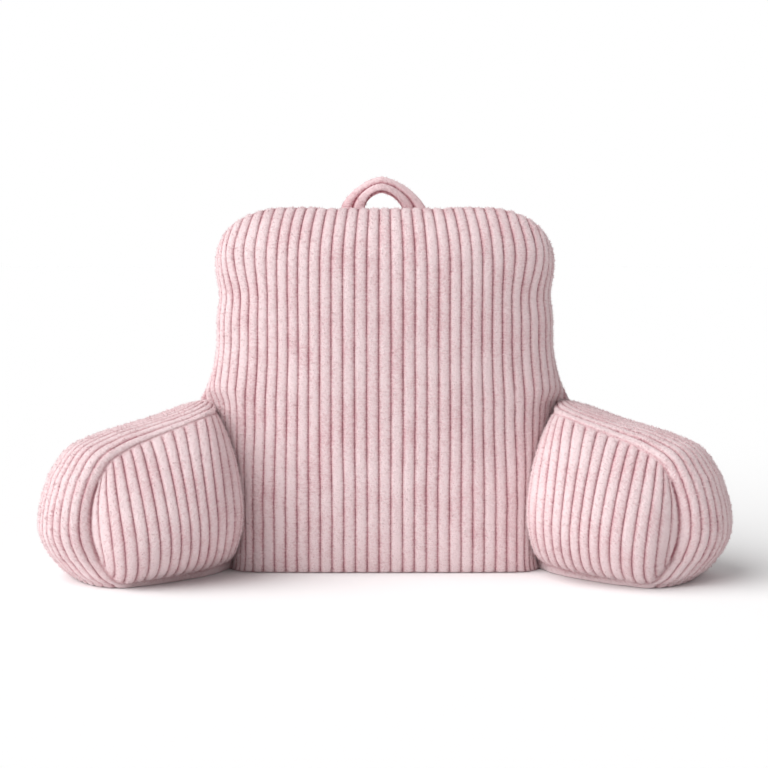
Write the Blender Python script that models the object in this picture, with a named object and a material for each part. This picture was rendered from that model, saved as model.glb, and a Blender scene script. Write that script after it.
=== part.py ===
"""Backrest pillow in wide-wale plush: a back cushion, two arms and a carry handle.

Sizes and tables are in millimetres, and the meshes are made in metres. X runs
across the pillow, Y from front to back and Z up. The floor is at z = 0, and the
origin is on it, under the middle of the whole pillow.
"""

import math

import bmesh
import bpy
import numpy as np

METRES_PER_MM = 0.001
GAP = 0.3
FLOOR_CONTACT = 3.5

# Wales of the plush
GROOVE_DEPTH = 2.8
SEAM_DEPTH = 3.6
BLUSH = (0.80, 0.60, 0.62, 1.0)
STRAP_BLUSH = (0.74, 0.50, 0.52, 1.0)
PLUSH_ROUGHNESS = 0.95

# Back cushion: its middle plane stands at y = BACK_MIDDLE
BACK_MIDDLE = 54.4
BACK_WALES = 37
SHOULDER_HEIGHT = 350.0
TOP_HEIGHT = 413.0
SHOULDER_HALF_WIDTH = 196.5
TOP_FLAT_HALF_WIDTH = 117.0
TOP_WALE_PITCH = 12.0
CORNER_FOOT_ANGLE = math.radians(8)
BASE_ROUNDING = 60.0
BASE_INSET = 17.0
SECTION_POWER = 2.5
MEAN_HALF_DEPTH = 82.0
CAP_STEPS = 5
# Where, as a share of the way across, a wider section starts to spread its wales,
# where it has spread them fully, and where the side seam flares out
SPREAD_FROM = 0.6
SPREAD_TO = 0.84
FLARE_FROM = 0.955
BACK_SEAM_SINK = 1.8

# Arms: each is sewn on along an upright plane through (ROOT_X, ROOT_Y)
ROOT_X = 160.0
ROOT_Y = -85.0
ARM_TURN = math.radians(30)
ROOT_ROUNDING = 6.0
PANEL_WALES = 14
GUSSET_WALES = 12
INNER_CROWN = 36.0
OUTER_CROWN = 20.0
FAR_SEAM_REACH = 0.97
FAR_SEAM_HEIGHT = 0.95
PANEL_ROWS = 13
CROWN_ACROSS_POWER = 2.4
CROWN_UP_POWER = 2.2
CROWN_FALL = 0.62
CROWN_LOW = 0.22
GUSSET_POWER = 2.3

# Handle: the strap's outer and inner edges are two arches on the same feet
HANDLE_CENTRE = -1.5
HANDLE_BEHIND_MIDDLE = 20.0
HANDLE_FOOT_HEIGHT = 408.5
OUTER_HALF_SPAN = 53.0
OUTER_RISE = 40.0
OUTER_POWER = 1.5
INNER_HALF_SPAN = 20.0
INNER_RISE = 21.0
INNER_POWER = 1.8
HANDLE_SKEW = -2.5
STRAP_LEAN = 9.0
STRAP_HALF_THICKNESS = 4.8
STRAP_GROOVE_DEPTH = 2.2
STRAP_GROOVE_WIDTH = 0.3
STRAP_EDGE_POWER = 0.7
# How far round a foot the top of the cushion is pressed down, and fades back
PRESSED_ACROSS = (28.0, 40.0)
PRESSED_ALONG = (22.0, 34.0)

# The back cushion's level sections, from the floor up: half width at the side
# seam, half width and depth and squareness of the front, and depth of the back
BACK_COLUMNS = ("height", "seam", "front", "depth", "square", "back")
BACK_SECTIONS = (
    (0, 236, 224, 95, 3.6, 86),
    (8, 237, 226, 95, 3.6, 86),
    (28, 239, 233, 95, 3.3, 87),
    (60, 242, 242, 94, 3.3, 88),
    (92, 242, 242, 94, 3.1, 88),
    (122, 240, 229, 91.5, 2.65, 88),
    (150, 238, 210, 89, 2.5, 87),
    (172, 236, 205, 87, 2.4, 86),
    (190, 224, 208, 86, 2.4, 85),
    (206, 208, 206, 86, 2.5, 85),
    (226, 200.5, 200.5, 85, 2.5, 84),
    (255, 195.5, 195.5, 84, 2.5, 83),
    (284, 196.5, 196.5, 83, 2.5, 82),
    (311, 192.5, 192.5, 82, 2.5, 80),
    (331, 195.5, 195.5, 80, 2.5, 78),
    (350, 196.5, 196.5, 78, 2.5, 76),
)

# An arm's inner seam, then the widest line of its gusset, in the arm's own frame:
# out from the root plane, forward along it, and up. The last column is how far
# forward the outer seam lies. The rows go along the top, round the end and back
TOP_SEAM = (
    (0, -68, 177, 0, -100, 196, -130),
    (20, -27, 179, 22, -82, 189, -126),
    (42, -6, 177, 45, -66, 182, -122),
    (67, 0, 168, 71, -60, 174, -120),
    (100, 0, 157, 106, -60, 165, -120),
    (133, 0, 145, 142, -60, 156, -120),
    (155, 0, 134, 177, -60, 144, -120),
    (168, 0, 116, 200, -60, 117, -120),
)
END_SEAM = (
    (168, 0, 116, 200, -60, 117, -120),
    (175, 0, 97, 209, -60, 91, -120),
    (178, 0, 76, 213, -60, 68, -120),
    (175.5, 0, 50, 211, -60, 45, -120),
    (168, 0, 30, 205, -60, 22, -120),
)
BOTTOM_SEAM = (
    (168, 0, 30, 205, -60, 22, -120),
    (152, 7, 6, 186, -60, -8, -120),
    (118, 8, 4.5, 126, -60, -12, -120),
    (86, 4, 6, 88, -60, -12, -120),
    (52, -4, 7, 53, -60, -12, -120),
    (25, -14, 9, 25, -66, -12, -121),
    (0, -30, 10, 0, -80, -12, -122),
)

# Where an arm's two panels meet the root plane, forward and up, from the top down
INNER_ROOT = (
    (-68, 177), (-48, 164), (-32, 148), (-16, 127), (-6, 106),
    (2, 84), (2, 61), (-7, 37), (-18, 20), (-30, 10),
)
OUTER_ROOT = ((-130, 177), (-140, 140), (-143, 100), (-142, 60), (-136, 28), (-122, 10))


def smooth(knots, values, at):
    """Cubic line through the values, its slopes taken from the neighbours."""
    knots = np.asarray(knots, float)
    values = np.asarray(values, float)
    slopes = np.gradient(values, knots, axis=0)
    low = np.clip(np.searchsorted(knots, at, side="right") - 1, 0, len(knots) - 2)
    span = knots[low + 1] - knots[low]
    t = (at - knots[low]) / span
    if values.ndim > 1:
        span, t = span[..., None], t[..., None]
    return (
        (1 + 2 * t) * (1 - t) ** 2 * values[low]
        + t * (1 - t) ** 2 * span * slopes[low]
        + t * t * (3 - 2 * t) * values[low + 1]
        + t * t * (t - 1) * span * slopes[low + 1]
    )


def lengths_along(points):
    """Distance along a line of points, from its first one."""
    steps = np.linalg.norm(np.diff(points, axis=0), axis=1)
    return np.concatenate([[0.0], np.cumsum(steps)])


def evenly_on(line, count):
    """Count rows read off a fine line, evenly spaced along its first three columns."""
    run = lengths_along(line[:, :3])
    even = np.linspace(0, run[-1], count)
    return np.stack([np.interp(even, run, column) for column in line.T], axis=1)


def evenly(rows, count):
    """Count rows read off a smooth line through these, evenly spaced along it."""
    rows = np.asarray(rows, float)
    knots = lengths_along(rows[:, :3])
    return evenly_on(smooth(knots, rows, np.linspace(0, knots[-1], 40 * len(rows))), count)


def ramp(x, low, high):
    """Rises smoothly from 0 at low to 1 at high."""
    t = np.clip((x - low) / (high - low), 0, 1)
    return t * t * (3 - 2 * t)


def groove_at(wale_lines):
    """Depth below the crests: full on each half number of wales, none on a whole one."""
    return GROOVE_DEPTH * 0.5 * (1 - np.cos(2 * np.pi * wale_lines))


def pressed_flat(heights):
    """Heights of points that the floor presses flat where they come close to it."""
    return np.where(heights < FLOOR_CONTACT, 0.0, heights)


def arm_axes(side):
    """Root point, outward direction and forward direction of an arm."""
    root = np.array([side * ROOT_X, ROOT_Y, 0.0])
    out = np.array([side * math.cos(ARM_TURN), -math.sin(ARM_TURN), 0.0])
    forward = np.array([-side * math.sin(ARM_TURN), -math.cos(ARM_TURN), 0.0])
    return root, out, forward


def plush(name, colour):
    material = bpy.data.materials.new(name)
    material.use_nodes = True
    shader = material.node_tree.nodes["Principled BSDF"]
    shader.inputs["Base Color"].default_value = colour
    shader.inputs["Roughness"].default_value = PLUSH_ROUGHNESS
    shader.inputs["Metallic"].default_value = 0.0
    material.diffuse_color = colour
    return material


def sewn_solid(name, patches, material, fit):
    """One closed solid of patches of points, sunk along its wales and seams.

    Each patch is a grid of points and of depths. The patches share their edges,
    what stays open is closed flat, and fit puts the points clear of what is near.
    """
    bm = bmesh.new()
    depth = bm.verts.layers.float.new("depth")
    for points, depths in patches:
        rows, columns = depths.shape
        verts = []
        for point, sunk in zip(points.reshape(-1, 3), depths.ravel()):
            vert = bm.verts.new(point)
            vert[depth] = sunk
            verts.append(vert)
        for row in range(rows - 1):
            for column in range(columns - 1):
                corner = row * columns + column
                ring = (corner, corner + 1, corner + columns + 1, corner + columns)
                bm.faces.new([verts[index] for index in ring])
    bmesh.ops.remove_doubles(bm, verts=bm.verts, dist=0.01)
    rims = [edge for edge in bm.edges if edge.is_boundary]
    bmesh.ops.holes_fill(bm, edges=rims, sides=0)
    bmesh.ops.recalc_face_normals(bm, faces=bm.faces)
    bm.normal_update()
    moved = [vert.co - vert.normal * vert[depth] for vert in bm.verts]
    for vert, place in zip(bm.verts, fit(np.array(moved))):
        vert.co = place * METRES_PER_MM
    bmesh.ops.triangulate(bm, faces=bm.faces)
    bmesh.ops.recalc_face_normals(bm, faces=bm.faces)
    mesh = bpy.data.meshes.new(name)
    bm.to_mesh(mesh)
    bm.free()
    mesh.shade_smooth()
    mesh.materials.append(material)
    solid = bpy.data.objects.new(name, mesh)
    bpy.context.scene.collection.objects.link(solid)
    return solid


def even_section(wale_lines):
    """Across and depth, from 0 to 1, of points evenly spaced round half a section."""
    angle = np.linspace(0, math.pi / 2, 400)
    across = np.sin(angle) ** (2 / SECTION_POWER)
    depth = np.cos(angle) ** (2 / SECTION_POWER)
    true_size = np.stack([across * SHOULDER_HALF_WIDTH, depth * MEAN_HALF_DEPTH], axis=1)
    run = lengths_along(true_size)
    at = np.abs(wale_lines) / (BACK_WALES / 2) * run[-1]
    return np.interp(at, run, across)


def back_sheet(wale_lines, front):
    """Points of the front or back of the back cushion, from the floor to the top edge."""
    section = {
        column: np.array([row[index] for row in BACK_SECTIONS], float)
        for index, column in enumerate(BACK_COLUMNS)
    }
    sign = np.sign(wale_lines)
    across = even_section(wale_lines)

    # Rounded foot and upright wall
    heights = section["height"]
    low = 1 - np.clip(heights / BASE_ROUNDING, 0, 1)
    inset = BASE_INSET * (1 - np.sqrt(1 - low ** 2))
    seam = section["seam"][:, None]
    own = section["front"][:, None] if front else seam
    deep = section["depth" if front else "back"] - inset
    power = section["square"][:, None] if front else SECTION_POWER
    spread = ramp(across, SPREAD_FROM, SPREAD_TO)
    x = SHOULDER_HALF_WIDTH * across + (own - SHOULDER_HALF_WIDTH) * spread
    y = deep[:, None] * np.clip(1 - (x / own) ** power, 0, 1) ** (1 / power)
    x = x + (seam - own) * ramp(across, FLARE_FROM, 1.0)
    z = np.repeat(heights[:, None], len(across), axis=1)

    # Roll over the top edge: the outer wales end one after another round the corner
    first_corner_wale = TOP_FLAT_HALF_WIDTH / TOP_WALE_PITCH
    corner = (np.abs(wale_lines) - first_corner_wale) / (BACK_WALES / 2 - first_corner_wale)
    corner = np.clip(corner, 0, 1)
    turn = math.pi / 2 - corner * (math.pi / 2 - CORNER_FOOT_ANGLE)
    corner_width = SHOULDER_HALF_WIDTH - TOP_FLAT_HALF_WIDTH
    corner_height = TOP_HEIGHT - SHOULDER_HEIGHT
    end_x = np.minimum(np.abs(wale_lines) * TOP_WALE_PITCH, TOP_FLAT_HALF_WIDTH)
    end_x = end_x + corner_width * np.cos(turn)
    end_z = SHOULDER_HEIGHT + corner_height * np.sin(turn)
    rise = np.sin(np.linspace(0, math.pi / 2, CAP_STEPS + 1))[1:, None]
    cap_z = SHOULDER_HEIGHT + (end_z - SHOULDER_HEIGHT) * rise
    start_x = SHOULDER_HALF_WIDTH * across
    cap_x = start_x + (end_x - start_x) * rise ** 2
    lean = np.sqrt(np.clip(1 - ((cap_z - SHOULDER_HEIGHT) / corner_height) ** 2, 0, 1))
    width = TOP_FLAT_HALF_WIDTH + corner_width * lean
    inside = np.clip(1 - (cap_x / width) ** SECTION_POWER, 0, 1)
    cap_y = deep[-1] * lean * inside ** (1 / SECTION_POWER)
    cap_y[-1] = 0

    x, y, z = (np.concatenate(pair) for pair in ((x, cap_x), (y, cap_y), (z, cap_z)))
    y[:, 0] = 0
    y[:, -1] = 0
    y = -y if front else y
    return np.stack([x * sign, y, z], axis=-1)


def make_back_cushion(material):
    half = BACK_WALES / 2
    wale_lines = np.linspace(-half, half, 2 * BACK_WALES + 1)
    patches = []
    for front in (True, False):
        points = back_sheet(wale_lines, front)
        depths = np.repeat(groove_at(wale_lines)[None, :], len(points), axis=0)
        if not front:
            depths[-2] += BACK_SEAM_SINK
        patches.append((points, depths))

    def fit(points):
        for side in (-1, 1):
            root, out, _ = arm_axes(side)
            beyond = (points - root) @ out
            drawn_in = -ROOT_ROUNDING * np.logaddexp(0, -beyond / ROOT_ROUNDING)
            points = points + (drawn_in - beyond)[:, None] * out
        foot_middle = (OUTER_HALF_SPAN + INNER_HALF_SPAN) / 2
        for foot in (HANDLE_CENTRE - foot_middle, HANDLE_CENTRE + foot_middle):
            near = 1 - ramp(np.abs(points[:, 0] - foot), *PRESSED_ACROSS)
            near *= 1 - ramp(np.abs(points[:, 1] - HANDLE_BEHIND_MIDDLE), *PRESSED_ALONG)
            above = np.clip(points[:, 2] - (HANDLE_FOOT_HEIGHT - GAP), 0, None)
            points[:, 2] -= near * above
        points[:, 1] += BACK_MIDDLE
        points[:, 2] = pressed_flat(points[:, 2])
        return points

    return sewn_solid("back_cushion", patches, material, fit)


def coons(top, bottom, root, end):
    """Grid of points between four edges: rows go down, columns go out."""
    u = np.linspace(0, 1, len(top))[None, :, None]
    v = np.linspace(0, 1, len(root))[:, None, None]
    across = (1 - v) * top[None] + v * bottom[None]
    down = (1 - u) * root[:, None] + u * end[:, None]
    corners = (1 - v) * ((1 - u) * top[0] + u * top[-1]) + v * ((1 - u) * bottom[0] + u * bottom[-1])
    return across + down - corners


def crown(rows, columns):
    """Height of a stuffed panel, from 0 at its edges to about 1, fullest low down."""
    u = np.linspace(-1, 1, columns)[None, :]
    v = np.linspace(1, -1, rows)[:, None]
    low = v + CROWN_LOW * (1 - v * v)
    across = np.clip(1 - np.abs(u) ** CROWN_ACROSS_POWER, 0, 1)
    up = np.clip(1 - np.abs(low) ** CROWN_UP_POWER, 0, 1)
    return (across * up) ** CROWN_FALL


def far_side(seam):
    """The outer seam that matches these rows of the inner seam, a little smaller."""
    return np.stack([seam[:, 0] * FAR_SEAM_REACH, seam[:, 6], seam[:, 2] * FAR_SEAM_HEIGHT], axis=1)


def gusset_patch(ring, lines):
    """The strip between the inner and the outer seam, stuffed out to its rim."""
    turn = np.linspace(0, math.pi, 61)
    over = 0.5 * (1 - np.cos(turn))[:, None]
    out_of_plane = (np.sin(turn) ** (2 / GUSSET_POWER))[:, None]
    points = []
    for row, far in zip(ring, far_side(ring)):
        near, rim = row[:3], row[3:6]
        line = near + (far - near) * over + (rim - (near + far) / 2) * out_of_plane
        points.append(evenly_on(line, lines))
    return np.array(points)


def make_arm(name, side, material):
    columns = 2 * PANEL_WALES + 1
    rows = PANEL_ROWS
    top = evenly(TOP_SEAM, columns)
    bottom = evenly(BOTTOM_SEAM, columns)[::-1]
    end = evenly(END_SEAM, rows)
    ring = np.concatenate([top, end[1:], bottom[::-1][1:]])

    panels = []
    for inner in (True, False):
        edges = [edge[:, :3] if inner else far_side(edge) for edge in (top, bottom, end)]
        root_line = np.array(INNER_ROOT if inner else OUTER_ROOT, float)
        root = evenly(np.insert(root_line, 0, 0.0, axis=1), rows)
        root[0], root[-1] = edges[0][0], edges[1][0]
        points = coons(edges[0], edges[1], root, edges[2])
        swell = INNER_CROWN if inner else -OUTER_CROWN
        points[..., 1] += swell * crown(rows, columns)
        depths = np.repeat(groove_at(np.arange(columns) / 2 + 0.5)[None, :], rows, axis=0)
        depths[0] = depths[-1] = depths[:, -1] = SEAM_DEPTH
        panels.append((points, depths))

    lines = 2 * GUSSET_WALES + 1
    strip = gusset_patch(ring, lines)
    strip_depths = np.repeat(groove_at(np.arange(lines) / 2 + 0.5)[None, :], len(ring), axis=0)
    strip_depths[:, 0] = strip_depths[:, -1] = SEAM_DEPTH
    root_point, out, forward = arm_axes(side)

    def fit(points):
        beyond = np.maximum(points[:, 0], 0) + GAP
        place = root_point + beyond[:, None] * out + points[:, 1, None] * forward
        place[:, 1] += BACK_MIDDLE
        place[:, 2] = pressed_flat(points[:, 2])
        return place

    return sewn_solid(name, panels + [(strip, strip_depths)], material, fit)


def arch(angles, half_span, rise, power):
    """Points of an arch over the feet, from the left one to the right one."""
    across = -np.sign(np.cos(angles)) * np.abs(np.cos(angles)) ** (2 / power)
    up = np.clip(np.sin(angles), 0, 1) ** (2 / power)
    x = HANDLE_CENTRE + half_span * across + HANDLE_SKEW * up
    return np.stack([x, np.full_like(x, HANDLE_BEHIND_MIDDLE), HANDLE_FOOT_HEIGHT + rise * up], axis=1)


def make_handle(material):
    angles = np.linspace(0, math.pi, 25)
    outer = arch(angles, OUTER_HALF_SPAN, OUTER_RISE, OUTER_POWER)
    inner = arch(angles, INNER_HALF_SPAN, INNER_RISE, INNER_POWER)
    centre = (outer + inner) / 2
    half_width = (outer - inner) / 2
    half_width[:, 1] += STRAP_LEAN * np.sin(angles)
    face = np.cross(np.gradient(centre, axis=0), half_width)
    face /= np.linalg.norm(face, axis=1)[:, None]

    around = np.linspace(0, 2 * math.pi, 17)
    across = np.sign(np.cos(around)) * np.abs(np.cos(around)) ** STRAP_EDGE_POWER
    through = np.sign(np.sin(around)) * np.abs(np.sin(around)) ** STRAP_EDGE_POWER
    through *= STRAP_HALF_THICKNESS
    points = centre[:, None] + half_width[:, None] * across[:, None] + face[:, None] * through[:, None]
    points[:, -1] = points[:, 0]
    groove = STRAP_GROOVE_DEPTH * np.exp(-((across / STRAP_GROOVE_WIDTH) ** 2))
    depths = np.repeat(groove[None, :], len(angles), axis=0)

    def fit(points):
        points[:, 1] += BACK_MIDDLE
        points[:, 2] = np.clip(points[:, 2], HANDLE_FOOT_HEIGHT, None)
        return points

    return sewn_solid("handle", [(points, depths)], material, fit)


for old in list(bpy.data.objects):
    bpy.data.objects.remove(old)

body_plush = plush("blush plush", BLUSH)
make_back_cushion(body_plush)
make_arm("left_arm", -1, body_plush)
make_arm("right_arm", 1, body_plush)
make_handle(plush("strap plush", STRAP_BLUSH))
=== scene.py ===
import math

import bmesh
import bpy
import numpy as np
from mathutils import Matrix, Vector


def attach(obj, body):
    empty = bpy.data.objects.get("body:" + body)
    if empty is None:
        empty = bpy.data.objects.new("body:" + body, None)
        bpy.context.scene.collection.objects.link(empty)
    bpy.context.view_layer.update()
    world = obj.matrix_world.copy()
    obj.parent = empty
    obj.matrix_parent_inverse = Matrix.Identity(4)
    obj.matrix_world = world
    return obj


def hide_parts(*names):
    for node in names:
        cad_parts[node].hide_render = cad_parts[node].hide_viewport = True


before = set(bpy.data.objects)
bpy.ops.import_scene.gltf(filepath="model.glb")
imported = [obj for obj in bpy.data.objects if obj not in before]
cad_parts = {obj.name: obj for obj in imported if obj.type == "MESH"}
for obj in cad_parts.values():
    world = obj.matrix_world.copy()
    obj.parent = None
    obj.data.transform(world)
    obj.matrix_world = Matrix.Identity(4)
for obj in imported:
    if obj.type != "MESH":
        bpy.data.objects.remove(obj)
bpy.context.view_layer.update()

# The back cushion is one bag of wide-wale cut plush, stuffed with fibre fill. Its
# front and back panels have upright wales that roll over the top edge, where they
# are sewn together, and a plain cloth base that it stands on. Sizes are millimetres.
MM = 0.001
BACK_MIDDLE = 54.4
BACK_WALES = 37
SHOULDER_HEIGHT = 350.0
TOP_HEIGHT = 413.0
SHOULDER_HALF_WIDTH = 196.5
TOP_FLAT_HALF_WIDTH = 117.0
TOP_WALE_PITCH = 12.0
CORNER_FOOT_ANGLE = math.radians(8)
BASE_ROUNDING = 60.0
BASE_INSET = 17.0
SECTION_POWER = 2.5
MEAN_HALF_DEPTH = 82.0
FOOT_HALF_WIDTH = 242.0
# The wales are a little wider in the middle of the front than towards its sides
MIDDLE_WIDER = 0.025
SIDES_NARROWER = 0.045
# Shares of the way across where the waist pulls in and the side seam flares out
WAIST_FROM = 0.62
FLARE_FROM = 0.955
# Above a fold in each side the shoulder is stuffed out, and its wales bow outwards
FOLD_HEIGHT = 312.0
FOLD_HALF_HEIGHT = 8.0
FOLD_DEPTH = 3.2
BOW_HEIGHT = 362.0
BOW_HALF_HEIGHT = 30.0
BOW = 5.5
# Height, half width at the side seam, half width and depth and squareness of the
# front, and depth of the back
BACK_SECTIONS = np.array([
    (0, 236, 232, 96, 4.6, 86),
    (8, 237, 233, 96, 4.4, 86),
    (28, 239, 236, 95.5, 3.7, 87),
    (60, 242, 242, 94, 3.3, 88),
    (92, 242, 242, 94, 3.1, 88),
    (122, 240, 231, 91.5, 2.65, 88),
    (150, 238, 217, 89, 2.5, 87),
    (172, 236, 213, 87, 2.4, 86),
    (190, 224, 214, 86, 2.4, 85),
    (206, 208, 207, 86, 2.5, 85),
    (226, 200.5, 200.5, 85, 2.5, 84),
    (255, 195.5, 195.5, 84, 2.5, 83),
    (284, 195.5, 195.5, 83, 2.5, 82),
    (300, 193.5, 193.5, 82.3, 2.5, 81),
    (312, 191.8, 191.8, 82, 2.5, 80),
    (324, 193.6, 193.6, 81, 2.5, 79),
    (336, 196.2, 196.2, 80, 2.5, 77.5),
    (350, 196.5, 196.5, 78, 2.5, 76),
])
# Rows of cloth are close together by a seam, so that the wales' tips can be round
WALL_HEIGHTS = np.concatenate([[0, 1.5, 4, 8, 14, 21], np.linspace(30, 350, 31)])
CAP_TURNS = np.concatenate([np.linspace(0.07, 0.84, 11), [0.89, 0.93, 0.96, 0.985, 1.0]])
WALE_COLUMNS = (-0.5, -0.42, -0.23, 0.0, 0.23, 0.42)
BASE_ROWS = 9

# The arms are sewn on along two upright planes, and the cushion bulges up to them
ROOT_X = 160.0
ROOT_Y = -85.0
ARM_TURN = math.radians(30)
ROOT_ROUNDING = 6.0
# Above the arms it is free to spread over them
SKIRT_HEIGHT = 190.0
SKIRT_SLOPE = 1.2
GAP = 0.3
FLOOR_CONTACT = 3.5

# The handle's feet press the top of the cushion down, fading back round each foot
FOOT_CENTRES = (-38.0, 35.0)
FOOT_HEIGHT = 408.5
HANDLE_BEHIND_MIDDLE = 20.0
PRESSED_ACROSS = (28.0, 40.0)
PRESSED_ALONG = (22.0, 34.0)

# How the stuffing fills the bag
AIR_PRESSURE = 4.0
FILLING_FRAMES = 12
MOST_SWELL = 3.0
# The filling moves no cloth this close to a seam or to where the arms are sewn on
SEAM_HOLD = 0.5
ROOT_HOLD = 4.0

# A length in millimetres past which the tip of a wale no longer shows
FAR_FROM_TIPS = 60.0

# Relief of the wales, in metres. The seam level is how high the cloth still is at a
# seam, as a share of the crest height. The two powers flatten and round a wale.
CREST_HEIGHT = 0.0027
SEAM_LEVEL = 0.7
TIP_LENGTH = 0.0045
FLATNESS = 2.8
ROUNDNESS = 0.62
WALE_WANDER = 0.035
WANDER_SCALE = 22.0
LUMPS = 0.0009
LUMPS_SCALE = 45.0
# Plush is raised by a little over the relief, and plain cloth not at all, with a
# short slope where the two meet
PLAIN_FROM = 0.6
PLUSH_GAIN = 1.7

# Blush plush, from the bottom of a groove to the tips of the pile. The deeper pink in a groove is partly the
# plush's own colour and partly painted shade, and the pale crest is partly its own colour and partly a
# painted highlight.
GROOVE_SHADE_HEX = "#B97F88"
FLANK_HEX = "#DAB5B9"
CREST_HIGHLIGHT_HEX = "#ECD6D8"

# The pile stands off the cloth in tufts
TUFTS_PER_SQUARE_METRE = 95000.0
TUFT_LENGTH = 0.0024
TUFT_WIDTH = 0.0009
TUFT_SIZES = (0.5, 1.15)
TUFT_TILT = 0.7
TUFT_TURN = 3.0
LOWEST_TUFT = 0.003


def smooth(knots, values, at):
    """Cubic line through the values, its slopes taken from the neighbours."""
    knots = np.asarray(knots, float)
    values = np.asarray(values, float)
    slopes = np.gradient(values, knots, axis=0)
    low = np.clip(np.searchsorted(knots, at, side="right") - 1, 0, len(knots) - 2)
    span = knots[low + 1] - knots[low]
    t = (at - knots[low]) / span
    if values.ndim > 1:
        span, t = span[..., None], t[..., None]
    return (
        (1 + 2 * t) * (1 - t) ** 2 * values[low]
        + t * (1 - t) ** 2 * span * slopes[low]
        + t * t * (3 - 2 * t) * values[low + 1]
        + t * t * (t - 1) * span * slopes[low + 1]
    )


def lengths_along(points):
    """Distance along lines of points, from the first row of them."""
    steps = np.linalg.norm(np.diff(points, axis=0), axis=-1)
    return np.concatenate([np.zeros_like(steps[:1]), np.cumsum(steps, axis=0)])


def ramp(x, low, high):
    """Rises smoothly from 0 at low to 1 at high."""
    t = np.clip((x - low) / (high - low), 0, 1)
    return t * t * (3 - 2 * t)


def wale_columns(first, last):
    """Wale numbers of the columns of cloth. A crest is on each whole number."""
    crests = np.arange(first, last + 1)
    return np.append((crests[:, None] + np.array(WALE_COLUMNS)).ravel(), last + 0.5)


def arm_axes(side):
    """Root point, outward direction and forward direction of an arm."""
    root = np.array([side * ROOT_X, ROOT_Y, 0.0])
    out = np.array([side * math.cos(ARM_TURN), -math.sin(ARM_TURN), 0.0])
    forward = np.array([-side * math.sin(ARM_TURN), -math.cos(ARM_TURN), 0.0])
    return root, out, forward


def pressed_flat(heights):
    """Heights of points that the floor presses flat where they come close to it."""
    return np.where(heights < FLOOR_CONTACT, 0.0, heights)


def back_sheet(wales, front):
    """Points of the front or back panel, from the floor to the top edge."""
    sign = np.sign(wales)
    angle = np.linspace(0, math.pi / 2, 400)
    edge_x = np.sin(angle) ** (2 / SECTION_POWER)
    edge_y = np.cos(angle) ** (2 / SECTION_POWER)
    run = lengths_along(np.stack([edge_x * SHOULDER_HALF_WIDTH, edge_y * MEAN_HALF_DEPTH], axis=1))
    straight = np.abs(wales) / (BACK_WALES / 2)
    eased = straight + MIDDLE_WIDER * np.sin(math.pi * straight) / math.pi
    eased = eased + SIDES_NARROWER * np.sin(2 * math.pi * straight) / (2 * math.pi)
    across = np.interp(eased * run[-1], run, edge_x)

    # Rounded foot and upright wall
    sizes = smooth(BACK_SECTIONS[:, 0], BACK_SECTIONS[:, 1:], WALL_HEIGHTS)
    seam, front_width, front_depth, squareness, back_depth = sizes.T[:, :, None]
    low = 1 - np.clip(WALL_HEIGHTS / BASE_ROUNDING, 0, 1)
    inset = BASE_INSET * (1 - np.sqrt(1 - low ** 2))[:, None]
    own = front_width if front else seam
    deep = (front_depth if front else back_depth) - inset
    power = squareness if front else SECTION_POWER
    fan = np.maximum(own, SHOULDER_HALF_WIDTH)
    fanned = np.clip((fan - SHOULDER_HALF_WIDTH) / (FOOT_HALF_WIDTH - SHOULDER_HALF_WIDTH), 0, 1)
    reach = across + (straight - across) * fanned
    y = deep * np.clip(1 - reach ** power, 0, 1) ** (1 / power)
    x = fan * reach + (own - fan) * ramp(reach, WAIST_FROM, 1.0) + (seam - own) * ramp(reach, FLARE_FROM, 1.0)
    z = np.repeat(WALL_HEIGHTS[:, None], len(wales), axis=1)

    # Roll over the top edge: the outer wales end one after another round the corner
    first_corner_wale = TOP_FLAT_HALF_WIDTH / TOP_WALE_PITCH
    corner = (np.abs(wales) - first_corner_wale) / (BACK_WALES / 2 - first_corner_wale)
    turn = math.pi / 2 - np.clip(corner, 0, 1) * (math.pi / 2 - CORNER_FOOT_ANGLE)
    corner_width = SHOULDER_HALF_WIDTH - TOP_FLAT_HALF_WIDTH
    corner_height = TOP_HEIGHT - SHOULDER_HEIGHT
    end_x = np.minimum(np.abs(wales) * TOP_WALE_PITCH, TOP_FLAT_HALF_WIDTH)
    end_x = end_x + corner_width * np.cos(turn)
    end_z = SHOULDER_HEIGHT + corner_height * np.sin(turn)
    rise = np.sin(CAP_TURNS * math.pi / 2)[:, None]
    cap_z = SHOULDER_HEIGHT + (end_z - SHOULDER_HEIGHT) * rise
    start_x = SHOULDER_HALF_WIDTH * across
    cap_x = start_x + (end_x - start_x) * rise ** 2
    lean = np.sqrt(np.clip(1 - ((cap_z - SHOULDER_HEIGHT) / corner_height) ** 2, 0, 1))
    width = TOP_FLAT_HALF_WIDTH + corner_width * lean
    cap_y = deep[-1] * lean * np.clip(1 - (cap_x / width) ** SECTION_POWER, 0, 1) ** (1 / SECTION_POWER)
    cap_y[-1] = 0

    x, y, z = (np.concatenate(pair) for pair in ((x, cap_x), (y, cap_y), (z, cap_z)))
    outer = ramp(across, WAIST_FROM, 0.86)
    x = x + BOW * outer * (1 - ramp(across, 0.88, 1)) * np.exp(-((z - BOW_HEIGHT) / BOW_HALF_HEIGHT) ** 2)
    outer = outer * (1 - ramp(across, 0.9, 0.985))
    y = y - FOLD_DEPTH * outer * np.exp(-((z - FOLD_HEIGHT) / FOLD_HALF_HEIGHT) ** 2)
    y[:, 0] = 0
    y[:, -1] = 0
    return np.stack([x * sign, -y if front else y, z], axis=-1)


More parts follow.
